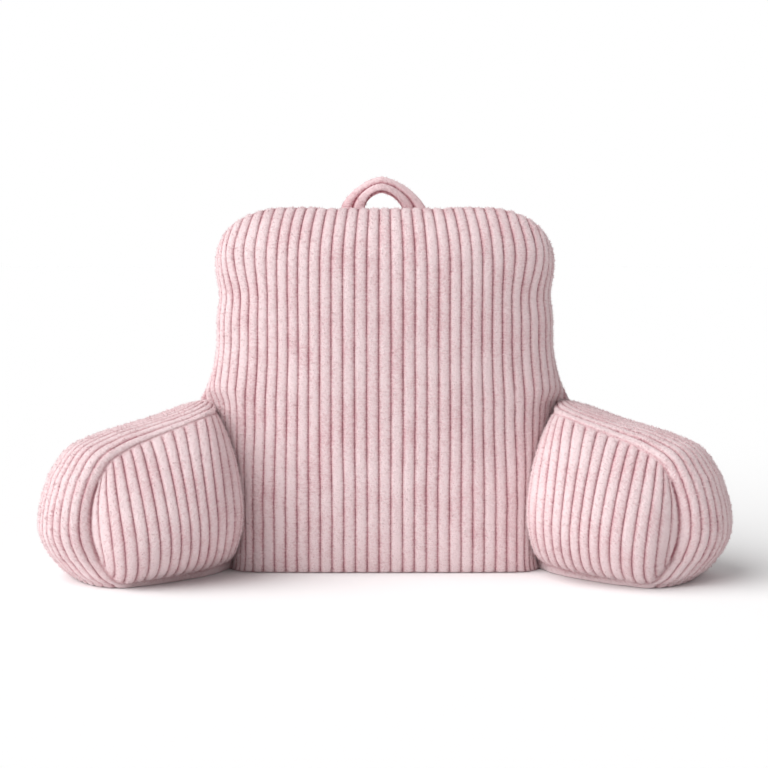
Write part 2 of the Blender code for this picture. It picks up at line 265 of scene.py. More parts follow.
def fit_back(points):
    """The cushion bulges up to both arms and is pressed down under the handle."""
    for side in (-1, 1):
        root, out, _ = arm_axes(side)
        free = SKIRT_SLOPE * np.clip(points[..., 2] - SKIRT_HEIGHT, 0, None)
        beyond = (points - root) @ out
        drawn_in = free - ROOT_ROUNDING * np.logaddexp(0, (free - beyond) / ROOT_ROUNDING)
        points = points + (drawn_in - beyond)[..., None] * out
    for foot in FOOT_CENTRES:
        near = 1 - ramp(np.abs(points[..., 0] - foot), *PRESSED_ACROSS)
        near *= 1 - ramp(np.abs(points[..., 1] - HANDLE_BEHIND_MIDDLE), *PRESSED_ALONG)
        points[..., 2] -= near * np.clip(points[..., 2] - (FOOT_HEIGHT - GAP), 0, None)
    points[..., 1] += BACK_MIDDLE
    points[..., 2] = pressed_flat(points[..., 2])
    return points


def keep_off_arms(points):
    """Puts back what the filling pushed through the planes that the arms are sewn on along."""
    for side in (-1, 1):
        root, out, _ = arm_axes(side)
        free = SKIRT_SLOPE * np.clip(points[..., 2] - SKIRT_HEIGHT, 0, None)
        beyond = (points - root - np.array([0, BACK_MIDDLE, 0])) @ out
        points = points - np.clip(beyond - free, 0, None)[:, None] * out
    return points


def cloth_patch(points, wales, ends_sewn):
    """A patch of plush: its points, their wale numbers, and millimetres along the wales.

    Wales run down the columns. Where their ends are sewn into a seam, tip is how far
    each point is from it.
    """
    along = lengths_along(points)
    tip = np.minimum(along, along[-1] - along) if ends_sewn else np.full(along.shape, FAR_FROM_TIPS)
    return {
        "points": points, "wale": np.broadcast_to(wales, along.shape),
        "along": along, "tip": tip, "plain": 0.0,
    }


def plain_patch(points):
    """A patch of plain cloth that closes a bag where nobody sees it."""
    still = np.zeros(points.shape[:2])
    return {"points": points, "wale": still, "along": still, "tip": still + FAR_FROM_TIPS, "plain": 1.0}


def sewn_skin(name, patches):
    """One closed skin of patches that share their edges."""
    points = np.concatenate([patch["points"].reshape(-1, 3) for patch in patches])
    # Points less than a micrometre apart are one. The small shift keeps round values
    # of millimetres away from the edges of the rounding.
    rounded = np.round(points + 1.37e-4, 3)
    _, first, shared = np.unique(rounded, axis=0, return_index=True, return_inverse=True)
    shared = shared.ravel()
    tip = np.full(len(first), FAR_FROM_TIPS)
    np.minimum.at(tip, shared, np.concatenate([patch["tip"].ravel() for patch in patches]))
    faces, lay, plain, start = [], [], [], 0
    for patch in patches:
        rows, columns = patch["tip"].shape
        corner = (np.arange(rows - 1)[:, None] * columns + np.arange(columns - 1)).ravel()
        ring = np.stack([corner, corner + 1, corner + columns + 1, corner + columns], axis=1)
        faces.append(shared[start + ring])
        both = np.stack([patch["wale"].ravel(), patch["along"].ravel()], axis=1)
        lay.append(both[ring].reshape(-1, 2))
        plain.append(np.full(len(ring), patch["plain"]))
        start += rows * columns
    plain = np.concatenate(plain)
    mesh = bpy.data.meshes.new(name)
    mesh.from_pydata((points[first] * MM).tolist(), [], np.concatenate(faces).tolist())
    mesh.uv_layers.new(name="lay").data.foreach_set("uv", np.concatenate(lay).ravel())
    mesh.attributes.new("tip", "FLOAT", "POINT").data.foreach_set("value", tip * MM)
    mesh.attributes.new("plain", "FLOAT", "FACE").data.foreach_set("value", plain)

    # Faces outwards, and a sharp edge wherever plush is sewn to a plain patch
    bm = bmesh.new()
    bm.from_mesh(mesh)
    bmesh.ops.recalc_face_normals(bm, faces=bm.faces)
    is_plain = bm.faces.layers.float["plain"]
    crease = bm.edges.layers.float.new("crease_edge")
    for edge in bm.edges:
        edge[crease] = float(len({face[is_plain] for face in edge.link_faces}) == 2)
    bm.to_mesh(mesh)
    bm.free()
    mesh.shade_smooth()
    skin = bpy.data.objects.new(name, mesh)
    bpy.context.scene.collection.objects.link(skin)
    return skin


def stuffed(skin, held, limit):
    """Fills the skin as a cloth bag under a little pressure, held at its seams."""
    mesh = skin.data
    before = np.zeros(len(mesh.vertices) * 3)
    mesh.vertices.foreach_get("co", before)
    before = before.reshape(-1, 3) / MM
    pins = skin.vertex_groups.new(name="held")
    pins.add(np.flatnonzero(held).tolist(), 1.0, "REPLACE")
    cloth = skin.modifiers.new("filling", "CLOTH")
    cloth.settings.quality = 4
    cloth.settings.vertex_group_mass = "held"
    cloth.settings.use_pressure = True
    cloth.settings.uniform_pressure_force = AIR_PRESSURE
    cloth.settings.effector_weights.gravity = 0
    cloth.collision_settings.use_collision = False
    cloth.point_cache.frame_end = FILLING_FRAMES
    scene = bpy.context.scene
    for number in range(1, FILLING_FRAMES + 1):
        scene.frame_set(number)
    filled = skin.evaluated_get(bpy.context.evaluated_depsgraph_get()).data
    after = np.zeros(len(mesh.vertices) * 3)
    filled.vertices.foreach_get("co", after)
    moved = after.reshape(-1, 3) / MM - before
    far = np.linalg.norm(moved, axis=1, keepdims=True)
    moved *= MOST_SWELL / (MOST_SWELL + far)
    skin.modifiers.remove(cloth)
    skin.vertex_groups.remove(pins)
    scene.frame_set(1)
    mesh.vertices.foreach_set("co", (limit(before + moved) * MM).ravel())
    mesh.update()


def add_node(tree, kind, inputs=None, **settings):
    """Adds a node to a tree, with its settings and what goes into its sockets."""
    node = tree.nodes.new(kind)
    for name, value in settings.items():
        setattr(node, name, value)
    for socket, value in (inputs or {}).items():
        if isinstance(value, bpy.types.Node):
            value = value.outputs[0]
        if isinstance(value, bpy.types.NodeSocket):
            tree.links.new(value, node.inputs[socket])
        else:
            node.inputs[socket].default_value = value
    return node


def new_geometry_tree(name, inputs):
    """An empty tree of Geometry Nodes with its named inputs."""
    tree = bpy.data.node_groups.new(name, "GeometryNodeTree")
    tree.interface.new_socket("Geometry", in_out="INPUT", socket_type="NodeSocketGeometry")
    tree.interface.new_socket("Geometry", in_out="OUTPUT", socket_type="NodeSocketGeometry")
    for label, kind in inputs:
        tree.interface.new_socket(label, in_out="INPUT", socket_type="NodeSocket" + kind)
    return tree


# The wales are made by sinking every other point of the smooth skin below the
# crests: by the round section of a wale, and towards the round tips of the wales at
# the seams. Nothing goes below the floor.
raise_wales = new_geometry_tree("raise wales", (
    ("Crest height", "Float"), ("Seam level", "Float"), ("Tip length", "Float"),
    ("Wander", "Float"), ("Lumps", "Float"), ("Plush", "Material"),
))
given = add_node(raise_wales, "NodeGroupInput").outputs
finer = add_node(raise_wales, "GeometryNodeSubdivisionSurface", {
    "Mesh": given["Geometry"], "Level": 1,
    "Edge Crease": add_node(
        raise_wales, "GeometryNodeInputNamedAttribute", {"Name": "crease_edge"}, data_type="FLOAT",
    ),
})
lay = add_node(raise_wales, "GeometryNodeInputNamedAttribute", {"Name": "lay"}, data_type="FLOAT_VECTOR")
lay = add_node(raise_wales, "ShaderNodeSeparateXYZ", {0: lay})
place = add_node(raise_wales, "GeometryNodeInputPosition")
wander = add_node(raise_wales, "ShaderNodeTexNoise", {"Vector": place, "Scale": WANDER_SCALE, "Detail": 1.0})
wander = add_node(raise_wales, "ShaderNodeMath", {0: wander, 1: 0.5}, operation="SUBTRACT")
wander = add_node(raise_wales, "ShaderNodeMath", {0: wander, 1: given["Wander"]}, operation="MULTIPLY")
wale = add_node(raise_wales, "ShaderNodeMath", {0: lay.outputs["X"], 1: wander}, operation="ADD")
share = add_node(raise_wales, "ShaderNodeMath", {0: wale}, operation="FRACT")
share = add_node(raise_wales, "ShaderNodeMath", {0: share, 1: 0.5}, operation="SUBTRACT")
share = add_node(raise_wales, "ShaderNodeMath", {0: share}, operation="ABSOLUTE")
from_crest = add_node(raise_wales, "ShaderNodeMath", {0: share, 1: -2.0, 2: 1.0}, operation="MULTIPLY_ADD")
fallen = add_node(raise_wales, "ShaderNodeMath", {0: from_crest, 1: FLATNESS}, operation="POWER")
round_wale = add_node(raise_wales, "ShaderNodeMath", {0: 1.0, 1: fallen}, operation="SUBTRACT")
round_wale = add_node(raise_wales, "ShaderNodeMath", {0: round_wale, 1: ROUNDNESS}, operation="POWER")
tip = add_node(raise_wales, "GeometryNodeInputNamedAttribute", {"Name": "tip"}, data_type="FLOAT")
from_seam = add_node(raise_wales, "ShaderNodeMath", {
    0: tip, 1: given["Tip length"],
}, operation="DIVIDE", use_clamp=True)
to_seam = add_node(raise_wales, "ShaderNodeMath", {0: 1.0, 1: from_seam}, operation="SUBTRACT")
at_seam = add_node(raise_wales, "ShaderNodeMath", {0: to_seam, 1: 2.0}, operation="POWER")
round_tip = add_node(raise_wales, "ShaderNodeMath", {0: 1.0, 1: at_seam}, operation="SUBTRACT")
round_tip = add_node(raise_wales, "ShaderNodeMath", {0: round_tip}, operation="SQRT")
rib = add_node(raise_wales, "ShaderNodeMath", {0: round_wale, 1: given["Seam level"]}, operation="SUBTRACT")
rib = add_node(raise_wales, "ShaderNodeMath", {
    0: rib, 1: round_tip, 2: given["Seam level"],
}, operation="MULTIPLY_ADD")
sunk = add_node(raise_wales, "ShaderNodeMath", {0: 1.0, 1: rib}, operation="SUBTRACT")
sunk = add_node(raise_wales, "ShaderNodeMath", {0: sunk, 1: given["Crest height"]}, operation="MULTIPLY")
lumps = add_node(raise_wales, "ShaderNodeTexNoise", {"Vector": place, "Scale": LUMPS_SCALE, "Detail": 2.0})
sunk = add_node(raise_wales, "ShaderNodeMath", {
    0: lumps, 1: given["Lumps"], 2: sunk,
}, operation="MULTIPLY_ADD")
plain = add_node(raise_wales, "GeometryNodeInputNamedAttribute", {"Name": "plain"}, data_type="FLOAT")
inwards = add_node(raise_wales, "ShaderNodeMath", {
    0: PLAIN_FROM, 1: plain,
}, operation="SUBTRACT", use_clamp=True)
inwards = add_node(raise_wales, "ShaderNodeMath", {0: inwards, 1: -PLUSH_GAIN}, operation="MULTIPLY")
sunk = add_node(raise_wales, "ShaderNodeMath", {0: sunk, 1: inwards}, operation="MULTIPLY")
outward = add_node(raise_wales, "GeometryNodeInputNormal")
offset = add_node(raise_wales, "ShaderNodeVectorMath", {0: outward, "Scale": sunk}, operation="SCALE")
made = add_node(raise_wales, "GeometryNodeStoreNamedAttribute", {
    "Geometry": finer, "Name": "rib", "Value": rib,
}, data_type="FLOAT", domain="POINT")
made = add_node(raise_wales, "GeometryNodeSetPosition", {"Geometry": made, "Offset": offset})
place = add_node(raise_wales, "GeometryNodeInputPosition")
place = add_node(raise_wales, "ShaderNodeSeparateXYZ", {0: place})
on_floor = add_node(raise_wales, "ShaderNodeMath", {0: place.outputs["Z"], 1: 0.0}, operation="MAXIMUM")
place = add_node(raise_wales, "ShaderNodeCombineXYZ", {
    0: place.outputs["X"], 1: place.outputs["Y"], 2: on_floor,
})
made = add_node(raise_wales, "GeometryNodeSetPosition", {"Geometry": made, "Position": place})
made = add_node(raise_wales, "GeometryNodeSetShadeSmooth", {"Geometry": made, "Shade Smooth": True})
made = add_node(raise_wales, "GeometryNodeRealizeInstances", {"Geometry": made})
made = add_node(raise_wales, "GeometryNodeSetMaterial", {"Geometry": made, "Material": given["Plush"]})
add_node(raise_wales, "NodeGroupOutput", {"Geometry": made})


# Tufts of the cut pile: closed three-sided spikes, strewn over the plush but not
# under the pillow. They keep the wale number and height of where they stand.
strew_tufts = new_geometry_tree("strew tufts", (
    ("Tufts per square metre", "Float"), ("Tuft length", "Float"), ("Tuft width", "Float"),
    ("Seed", "Int"), ("Plush", "Material"),
))
given = add_node(strew_tufts, "NodeGroupInput").outputs
plain = add_node(strew_tufts, "GeometryNodeInputNamedAttribute", {"Name": "plain"}, data_type="FLOAT")
place = add_node(strew_tufts, "GeometryNodeInputPosition")
place = add_node(strew_tufts, "ShaderNodeSeparateXYZ", {0: place})
off_floor = add_node(strew_tufts, "ShaderNodeMath", {
    0: place.outputs["Z"], 1: LOWEST_TUFT,
}, operation="GREATER_THAN")
is_plush = add_node(strew_tufts, "ShaderNodeMath", {0: plain, 1: 0.5}, operation="LESS_THAN")
strewn = add_node(strew_tufts, "GeometryNodeDistributePointsOnFaces", {
    "Mesh": given["Geometry"], "Density": given["Tufts per square metre"], "Seed": given["Seed"],
    "Selection": add_node(strew_tufts, "ShaderNodeMath", {0: is_plush, 1: off_floor}, operation="MULTIPLY"),
})
half = add_node(strew_tufts, "ShaderNodeMath", {0: given["Tuft width"], 1: 0.5}, operation="MULTIPLY")
tuft = add_node(strew_tufts, "GeometryNodeMeshCone", {
    "Vertices": 3, "Radius Bottom": half, "Radius Top": 0.0, "Depth": given["Tuft length"],
}, fill_type="NGON")
tilt = add_node(strew_tufts, "FunctionNodeRandomValue", {
    0: (-TUFT_TILT, -TUFT_TILT, -TUFT_TURN), 1: (TUFT_TILT, TUFT_TILT, TUFT_TURN), "Seed": given["Seed"],
}, data_type="FLOAT_VECTOR")
tilt = add_node(strew_tufts, "FunctionNodeRotateRotation", {
    "Rotation": strewn.outputs["Rotation"], "Rotate By": tilt,
}, rotation_space="LOCAL")
size = add_node(strew_tufts, "FunctionNodeRandomValue", {
    2: TUFT_SIZES[0], 3: TUFT_SIZES[1], "Seed": given["Seed"],
}, data_type="FLOAT")
tufts = add_node(strew_tufts, "GeometryNodeInstanceOnPoints", {
    "Points": strewn, "Instance": tuft, "Rotation": tilt, "Scale": size.outputs[1],
})
tufts = add_node(strew_tufts, "GeometryNodeRealizeInstances", {"Geometry": tufts})
tufts = add_node(strew_tufts, "GeometryNodeSetMaterial", {"Geometry": tufts, "Material": given["Plush"]})
add_node(strew_tufts, "NodeGroupOutput", {"Geometry": tufts})


def grown(piece, tree, values):
    """Runs a tree on a piece and puts the plain mesh that it makes in the piece's place."""
    modifier = piece.modifiers.new(tree.name, "NODES")
    modifier.node_group = tree
    for label, value in values.items():
        modifier[tree.interface.items_tree[label].identifier] = value
    bpy.context.view_layer.update()
    depsgraph = bpy.context.evaluated_depsgraph_get()
    mesh = bpy.data.meshes.new_from_object(piece.evaluated_get(depsgraph), depsgraph=depsgraph)
    piece.modifiers.remove(modifier)
    piece.data = mesh
    return piece


def with_pile(piece, seed, plush):
    """The tufts that stand on a piece, as a piece of their own."""
    pile = bpy.data.objects.new(piece.name.replace("_plush", "") + "_pile", piece.data)
    bpy.context.scene.collection.objects.link(pile)
    grown(pile, strew_tufts, {
        "Tufts per square metre": TUFTS_PER_SQUARE_METRE, "Tuft length": TUFT_LENGTH,
        "Tuft width": TUFT_WIDTH, "Seed": seed, "Plush": plush,
    })
    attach(pile, "root")


def from_hex(colour):
    """Linear red, green, blue and alpha of an sRGB hex colour."""
    parts = [int(colour[start:start + 2], 16) / 255 for start in (1, 3, 5)]
    linear = [part / 12.92 if part <= 0.04045 else ((part + 0.055) / 1.055) ** 2.4 for part in parts]
    return linear + [1.0]


# Cut polyester plush, brushed after dyeing: a matt pile whose colour follows the height of the wale. It is
# pale on the crests and deep pink between the wales, partly its own colour and partly a painted highlight on
# the crests and painted shade in the grooves. Every wale is laid a little differently, and the cut rows show
# across it every 2 mm or so
def cut_plush(name, groove_shade, flank, crest_highlight):
    material = bpy.data.materials.new(name)
    material.use_nodes = True
    tree = material.node_tree
    tree.nodes.clear()
    lay = add_node(tree, "ShaderNodeAttribute", attribute_name="lay").outputs["Vector"]
    lay = add_node(tree, "ShaderNodeSeparateXYZ", {0: lay})
    rib = add_node(tree, "ShaderNodeAttribute", attribute_name="rib").outputs["Fac"]
    place = add_node(tree, "ShaderNodeTexCoord").outputs["Object"]
    cut_rows = add_node(tree, "ShaderNodeCombineXYZ", {
        0: add_node(tree, "ShaderNodeMath", {0: lay.outputs["X"], 1: 1.7}, operation="MULTIPLY"),
        1: add_node(tree, "ShaderNodeMath", {0: lay.outputs["Y"], 1: 1 / 2.1}, operation="MULTIPLY"),
    })
    cut_rows = add_node(tree, "ShaderNodeTexNoise", {
        "Vector": cut_rows, "Scale": 1.0, "Detail": 3.0, "Roughness": 0.65,
    })
    one_wale = add_node(tree, "ShaderNodeMath", {0: lay.outputs["X"]}, operation="ROUND")
    each_wale = add_node(tree, "ShaderNodeCombineXYZ", {
        0: add_node(tree, "ShaderNodeMath", {0: one_wale, 1: 5.3}, operation="MULTIPLY"),
        1: add_node(tree, "ShaderNodeMath", {0: lay.outputs["Y"], 1: 1 / 70}, operation="MULTIPLY"),
    })
    each_wale = add_node(tree, "ShaderNodeTexNoise", {"Vector": each_wale, "Scale": 1.0, "Detail": 1.5})
    brushed = add_node(tree, "ShaderNodeTexNoise", {
        "Vector": place, "Scale": 30.0, "Detail": 4.0, "Roughness": 0.65,
    })
    specks = add_node(tree, "ShaderNodeTexNoise", {
        "Vector": place, "Scale": 420.0, "Detail": 3.0, "Roughness": 0.75,
    })
    height = rib
    for noise, strength in ((cut_rows, 0.85), (each_wale, 0.75), (brushed, 0.6), (specks, 1.1)):
        part = add_node(tree, "ShaderNodeMath", {0: noise, 1: 0.5}, operation="SUBTRACT")
        height = add_node(tree, "ShaderNodeMath", {0: part, 1: strength, 2: height}, operation="MULTIPLY_ADD")
    # The ramp runs from groove to crest by the height of the wale: painted shade low in the grooves and a
    # painted highlight on the crests, over the plush's own pinks and its random tone
    colour = add_node(tree, "ShaderNodeValToRGB", {0: height})
    stops = colour.color_ramp.elements
    stops[0].position, stops[0].color = 0.1, from_hex(groove_shade)
    stops[1].position, stops[1].color = 1.0, from_hex(crest_highlight)
    middle = stops.new(0.55)
    middle.color = from_hex(flank)
    fuzz = add_node(tree, "ShaderNodeMath", {0: cut_rows, 1: 0.8, 2: specks}, operation="MULTIPLY_ADD")
    bump = add_node(tree, "ShaderNodeBump", {"Height": fuzz, "Distance": 0.0022, "Strength": 0.8})
    shader = add_node(tree, "ShaderNodeBsdfPrincipled", {
        "Base Color": colour, "Roughness": 0.95, "Specular IOR Level": 0.1,
        "Sheen Weight": 0.25, "Sheen Roughness": 0.6, "Sheen Tint": from_hex("#F3E2E4"), "Normal": bump,
    })
    add_node(tree, "ShaderNodeOutputMaterial", {"Surface": shader})
    return material


body_plush = cut_plush("blush cut plush", GROOVE_SHADE_HEX, FLANK_HEX, CREST_HIGHLIGHT_HEX)

back_wales = wale_columns(-(BACK_WALES // 2), BACK_WALES // 2)
sheets = [fit_back(back_sheet(back_wales, front)) for front in (True, False)]
share = np.linspace(0, 1, BASE_ROWS)[:, None, None]
base = sheets[0][0] * (1 - share) + sheets[1][0] * share
cushion = sewn_skin("back_cushion_plush", [
    cloth_patch(sheets[0], back_wales, True), cloth_patch(sheets[1], back_wales, True), plain_patch(base),
])
places = np.array([vert.co for vert in cushion.data.vertices]) / MM
held = (places[:, 2] < FLOOR_CONTACT) | (np.abs(places[:, 1] - BACK_MIDDLE) < SEAM_HOLD)
for side in (-1, 1):
    root, out, _ = arm_axes(side)
    held |= (places - root - np.array([0, BACK_MIDDLE, 0])) @ out > -ROOT_HOLD
stuffed(cushion, held, keep_off_arms)
plush_values = {
    "Crest height": CREST_HEIGHT, "Seam level": SEAM_LEVEL, "Tip length": TIP_LENGTH,
    "Wander": WALE_WANDER, "Lumps": LUMPS, "Plush": body_plush,
}
grown(cushion, raise_wales, plush_values)
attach(cushion, "root")
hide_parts("back_cushion")
with_pile(cushion, 3, body_plush)

# The arms are two bags of the same plush, sewn on along both sides of the cushion.
# Each has an oval panel with upright wales inside and outside, and a gusset strip
# with wales running along it between them. Points: out from the root plane, forward, up.
PANEL_WALES = 16
# Shares of the way out at which the grooves between a panel's wales meet its upper
# seam, cross its middle and meet its lower seam
GROOVES_TOP = (
    0, 0.09, 0.18, 0.26, 0.335, 0.405, 0.475, 0.54, 0.6,
    0.66, 0.715, 0.77, 0.825, 0.878, 0.932, 0.978, 1,
)
GROOVES_MIDDLE = (
    0, 0.12, 0.22, 0.3, 0.364, 0.42, 0.472, 0.523, 0.573,
    0.624, 0.677, 0.731, 0.786, 0.842, 0.902, 0.966, 1,
)
GROOVES_BOTTOM = (
    0, 0.05, 0.115, 0.185, 0.255, 0.322, 0.388, 0.453, 0.515,
    0.575, 0.634, 0.693, 0.752, 0.815, 0.885, 0.962, 1,
)
GUSSET_LINES = 76
GUSSET_PITCH = 12.5
INNER_CROWN = 36.0
OUTER_CROWN = 20.0
FAR_SEAM_REACH = 0.97
FAR_SEAM_HEIGHT = 0.95
CROWN_ACROSS_POWER = 2.4
CROWN_UP_POWER = 2.2
CROWN_FALL = 0.76
CROWN_LOW = 0.22
GUSSET_POWER = 2.1
PANEL_ROWS = np.array([
    0, 0.01, 0.028, 0.055, 0.1, 0.155, 0.22, 0.29, 0.36, 0.43, 0.5, 0.57,
    0.64, 0.71, 0.78, 0.845, 0.9, 0.945, 0.972, 0.99, 1,
])
# The inner seam, the widest line of the gusset, and how far forward the outer seam is
TOP_SEAM = np.array([
    (0, -68, 178, 0, -100, 188, -130),
    (20, -27, 179, 22, -82, 189, -126),
    (42, -6, 178.5, 45, -66, 184, -122),
    (67, 0, 172, 71, -60, 177, -120),
    (100, 0, 161.5, 106, -60, 169, -120),
    (133, 0, 149, 142, -60, 161, -120),
    (155, 0, 136, 177, -60, 147, -120),
    (168, 0, 116, 200, -60, 118, -120),
], float)
END_SEAM = np.array([
    (168, 0, 116, 200, -60, 118, -120),
    (175, 0, 97, 209, -60, 91, -120),
    (178, 0, 76, 213, -60, 68, -120),
    (175.5, 0, 50, 211, -60, 48, -120),
    (168, 0, 30, 203, -60, 31, -120),
], float)
BOTTOM_SEAM = np.array([
    (168, 0, 30, 203, -60, 31, -120),
    (152, 11, 7, 180, -60, 6, -120),
    (118, 12, 6, 126, -60, -13, -120),
    (86, 8, 7, 88, -60, -13, -120),
    (52, -1, 8, 53, -60, -13, -120),
    (25, -12, 9, 25, -66, -12, -121),
    (0, -30, 10, 0, -80, -12, -122),
], float)
# Where the two panels meet the root plane, forward and up, from the top down
INNER_ROOT = np.array([
    (0, -68, 178), (0, -48, 164), (0, -32, 148), (0, -16, 127), (0, -6, 106),
    (0, 2, 84), (0, 2, 61), (0, -7, 37), (0, -18, 20), (0, -30, 10),
], float)
OUTER_ROOT = np.array([
    (0, -130, 177), (0, -140, 140), (0, -143, 100), (0, -142, 60), (0, -136, 28), (0, -122, 10),
], float)


def read_off(rows, shares):
    """Rows of a smooth line through these, at shares of its length."""
    knots = lengths_along(rows[:, :3])
    fine = smooth(knots, rows, np.linspace(0, knots[-1], 40 * len(rows)))
    run = lengths_along(fine[:, :3])
    return np.stack([np.interp(shares * run[-1], run, column) for column in fine.T], axis=1)


def between_edges(top, bottom, root, end, across, down):
    """Grid of points between four edges, at shares across and down. Rows go down."""
    u = across[..., None]
    v = np.broadcast_to(down[:, None], across.shape)[..., None]
    over_top, over_bottom = (
        np.stack([np.interp(across, FINE_SHARES, axis) for axis in read_off(edge, FINE_SHARES).T], axis=-1)
        for edge in (top, bottom)
    )
    corners = (1 - v) * ((1 - u) * over_top[0, 0] + u * over_top[0, -1])
    corners = corners + v * ((1 - u) * over_bottom[0, 0] + u * over_bottom[0, -1])
    return (1 - v) * over_top + v * over_bottom + (1 - u) * root[:, None] + u * end[:, None] - corners


def crown(across, down):
    """Height of a stuffed panel, from 0 at its edges to about 1, fullest low down."""
    u = 2 * across - 1
    v = 1 - 2 * down[:, None]
    low = v + CROWN_LOW * (1 - v * v)
    swell = np.clip(1 - np.abs(u) ** CROWN_ACROSS_POWER, 0, 1)
    swell = swell * np.clip(1 - np.abs(low) ** CROWN_UP_POWER, 0, 1)
    return swell ** CROWN_FALL


def far_seam(seam):
    """The outer seam that matches these rows of the inner seam, a little smaller."""
    return np.stack([seam[:, 0] * FAR_SEAM_REACH, seam[:, 6], seam[:, 2] * FAR_SEAM_HEIGHT], axis=1)


def gusset_strip(ring):
    """The strip between the inner and the outer seam, stuffed out to its widest line."""
    turn = np.linspace(0, math.pi, 121)
    over = 0.5 * (1 - np.cos(turn))[:, None]
    out_of_plane = (np.sin(turn) ** (2 / GUSSET_POWER))[:, None]
    strip = []
    for row, far in zip(ring, far_seam(ring)):
        near, rim = row[:3], row[3:6]
        line = near + (far - near) * over + (rim - (near + far) / 2) * out_of_plane
        run = lengths_along(line)
        even = np.linspace(0, run[-1], GUSSET_LINES)
        strip.append(np.stack([np.interp(even, run, column) for column in line.T], axis=1))
    return np.array(strip)


FINE_SHARES = np.linspace(0, 1, 2001)
panel_columns = wale_columns(1, PANEL_WALES)
grooves = np.arange(PANEL_WALES + 1) + 0.5
at_top, at_middle, at_bottom = (
    np.clip(smooth(grooves, shares, panel_columns), 0, 1)
    for shares in (GROOVES_TOP, GROOVES_MIDDLE, GROOVES_BOTTOM)
)

# A quadratic through the three rows of shares, so that every groove is a bowed line
down = PANEL_ROWS[:, None]
across = (1 - down) * (1 - 2 * down) * at_top + 4 * down * (1 - down) * at_middle
across = across + down * (2 * down - 1) * at_bottom
top = read_off(TOP_SEAM, at_top)
bottom = read_off(BOTTOM_SEAM, 1 - at_bottom)
end = read_off(END_SEAM, PANEL_ROWS)
ring = np.concatenate([top, end[1:], bottom[::-1][1:]])
strip = gusset_strip(ring)
strip_wales = 0.5 + np.swapaxes(lengths_along(np.swapaxes(strip, 0, 1)), 0, 1) / GUSSET_PITCH
panels = []
roots = []
for inner in (True, False):
    edges = [
        edge[:, :3] if inner else far_seam(edge)
        for edge in (read_off(TOP_SEAM, FINE_SHARES), read_off(BOTTOM_SEAM, 1 - FINE_SHARES), end)
    ]
    root_line = read_off(INNER_ROOT if inner else OUTER_ROOT, PANEL_ROWS)
    root_line[0], root_line[-1] = edges[0][0], edges[1][0]
    panel = between_edges(edges[0], edges[1], root_line, edges[2], across, PANEL_ROWS)
    panel[..., 1] += (INNER_CROWN if inner else -OUTER_CROWN) * crown(across, PANEL_ROWS)
    panel[0] = top[:, :3] if inner else far_seam(top)
    panel[-1] = bottom[:, :3] if inner else far_seam(bottom)
    panels.append(panel)
    roots.append(root_line)

# A plain patch closes each arm where it lies against the cushion
down = PANEL_ROWS[:, None, None]
over = np.linspace(0, 1, GUSSET_LINES)[None, :, None]
root_patch = (1 - down) * strip[0] + down * strip[-1]
root_patch = root_patch + (1 - over) * roots[0][:, None] + over * roots[1][:, None]
root_patch = root_patch - (1 - down) * ((1 - over) * strip[0, 0] + over * strip[0, -1])
root_patch = root_patch - down * ((1 - over) * strip[-1, 0] + over * strip[-1, -1])

for side, name in ((-1, "left_arm"), (1, "right_arm")):
    root_point, out, forward = arm_axes(side)

    def placed(points):
        """Points of the arm's own frame, where the arm is sewn on."""
        place = root_point + (np.maximum(points[..., :1], 0) + GAP) * out + points[..., 1:2] * forward
        place[..., 1] += BACK_MIDDLE
        place[..., 2] = pressed_flat(points[..., 2])
        return place

    def keep_off_cushion(points):
        """Puts back what the filling pushed through the plane that the arm is sewn on along."""
        beyond = (points - root_point - np.array([0, BACK_MIDDLE, 0])) @ out
        points = points + np.clip(GAP - beyond, 0, None)[:, None] * out
        points[:, 2] = np.maximum(points[:, 2], 0)
        return points

    patches = [cloth_patch(placed(panel), panel_columns, True) for panel in panels]
    patches.append(cloth_patch(placed(strip), strip_wales, False))
    patches.append(plain_patch(placed(root_patch)))
    arm = sewn_skin(name + "_plush", patches)
    places = np.array([vert.co for vert in arm.data.vertices]) / MM
    tips = np.zeros(len(places))
    arm.data.attributes["tip"].data.foreach_get("value", tips)
    held = (tips < SEAM_HOLD * MM) | (places[:, 2] < FLOOR_CONTACT)
    held |= (places - root_point - np.array([0, BACK_MIDDLE, 0])) @ out < ROOT_HOLD
    stuffed(arm, held, keep_off_cushion)
    grown(arm, raise_wales, plush_values)
    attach(arm, "root")
    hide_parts(name)
    with_pile(arm, 8 + side, body_plush)

# The handle is one strap of the plush, folded and stuffed, with two wales side by
# side on its face. It stands in an arch, and both ends are sewn into the top seam.
HANDLE_CENTRE = -1.5
OUTER_HALF_SPAN = 53.0
OUTER_RISE = 40.0
OUTER_POWER = 1.5
INNER_HALF_SPAN = 20.0
INNER_RISE = 21.0
INNER_POWER = 1.8
HANDLE_SKEW = -2.5
STRAP_LEAN = 9.0
STRAP_HALF_THICKNESS = 5.6
STRAP_EDGE_POWER = 0.7
STRAP_SINK = 6.0
STRAP_STEPS = 61
STRAP_ROUND = 33
STRAP_CREST_HEIGHT = 0.0028
# The strap's grooves are darker and its crests paler. This is partly its own colour and partly painted shade
# in the grooves and a painted highlight on the crests.
STRAP_GROOVE_SHADE_HEX = "#9B505B"
STRAP_FLANK_HEX = "#D6A6AC"
STRAP_CREST_HIGHLIGHT_HEX = "#EFD3D6"


def arch(angles, half_span, rise, power):
    """Points of an arch over the feet, from the left one to the right one."""
    over = -np.sign(np.cos(angles)) * np.abs(np.cos(angles)) ** (2 / power)
    up = np.clip(np.sin(angles), 0, 1) ** (2 / power)
    x = HANDLE_CENTRE + half_span * over + HANDLE_SKEW * up
    return np.stack([x, np.full_like(x, HANDLE_BEHIND_MIDDLE), FOOT_HEIGHT + rise * up], axis=1)


